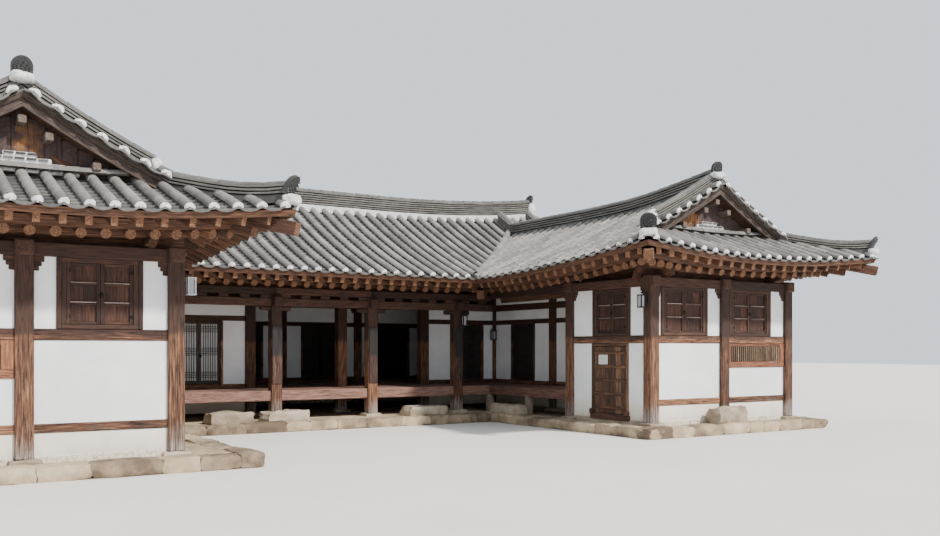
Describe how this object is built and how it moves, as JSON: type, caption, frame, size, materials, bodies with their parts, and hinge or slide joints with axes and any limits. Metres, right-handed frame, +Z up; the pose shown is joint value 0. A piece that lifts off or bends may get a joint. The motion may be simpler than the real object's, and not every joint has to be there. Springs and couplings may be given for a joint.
{
  "type": "hanok house",
  "caption": "U-shaped timber and plaster house with a tiled hip-and-gable roof, an open boarded hall and porch, and doors that swing.",
  "frame": {"origin": "centre of the house's bounding box at ground level, under the platforms", "axes": "+X to the right along the house's long back side as seen from the court, +Y from the court towards the back, +Z up"},
  "size_m": [17.8476, 12.4276, 5.5135],
  "materials": {
    "timber": "weathered",
    "dark_wood": "weathered",
    "floor_boards": "worn",
    "plaster": "lime plaster",
    "tile": "fired clay",
    "stone": "rough stone"
  },
  "bodies": {
    "house": {"left_wing_roof": "tile", "middle_roof": "tile", "right_wing_roof": "tile", "left_wing_ridge": "tile", "middle_ridge": "tile", "right_wing_ridge": "tile", "left_gable": "timber", "right_gable": "timber", "left_end_gable": "timber", "right_end_gable": "timber", "left_front_frame": "timber", "left_front_wall": "plaster", "left_front_inner_window": "timber", "left_front_outer_window": "timber", "left_court_frame": "timber", "left_court_wall": "plaster", "left_court_window": "timber", "left_recess_frame": "timber", "left_return_frame": "timber", "left_recess_wall": "plaster", "left_recess_door": "dark_wood", "left_outer_frame": "timber", "left_outer_wall": "plaster", "left_room_floor": "floor_boards", "right_front_frame": "timber", "right_front_wall": "plaster", "right_front_inner_window": "timber", "right_front_outer_window": "timber", "right_court_frame": "timber", "right_court_wall": "plaster", "right_court_window": "timber", "right_recess_frame": "timber", "right_return_frame": "timber", "right_recess_wall": "plaster", "right_outer_frame": "timber", "right_outer_wall": "plaster", "right_room_floor": "floor_boards", "back_frame": "timber", "back_wall": "plaster", "hall_back_door_1": "dark_wood", "hall_back_door_2": "dark_wood", "hall_back_door_3": "dark_wood", "porch_frame": "timber", "hall_frame": "timber", "hall_left_wall": "plaster", "hall_right_wall": "plaster", "hall_floor": "floor_boards", "left_platform": "stone", "middle_platform": "stone", "right_platform": "stone"},
    "plank_door": {"plank_door": "timber"},
    "recess_door": {"recess_door": "dark_wood"},
    "corner_door": {"corner_door": "dark_wood"},
    "lattice_left": {"lattice_door_left": "timber"},
    "lattice_right": {"lattice_door_right": "timber"}
  },
  "joints": [
    {"name": "plank_door_swing", "type": "hinge", "parent": "house", "child": "plank_door", "pos_m": [4.122, -4.388, 0.95], "axis": [0, 0, 1], "range_deg": [0, 90]},
    {"name": "recess_door_swing", "type": "hinge", "parent": "house", "child": "recess_door", "pos_m": [5.24, -0.043, 1.45], "axis": [0, 0, 1], "range_deg": [0, 90]},
    {"name": "corner_door_swing", "type": "hinge", "parent": "house", "child": "corner_door", "pos_m": [4.077, 1.5, 1.45], "axis": [0, 0, -1], "range_deg": [0, 90]},
    {"name": "lattice_left_swing", "type": "hinge", "parent": "house", "child": "lattice_left", "pos_m": [-2.308, 1.5, 1.45], "axis": [0, 0, -1], "range_deg": [0, 90]},
    {"name": "lattice_right_swing", "type": "hinge", "parent": "house", "child": "lattice_right", "pos_m": [-1.492, 1.5, 1.45], "axis": [0, 0, 1], "range_deg": [0, 90]}
  ]
}
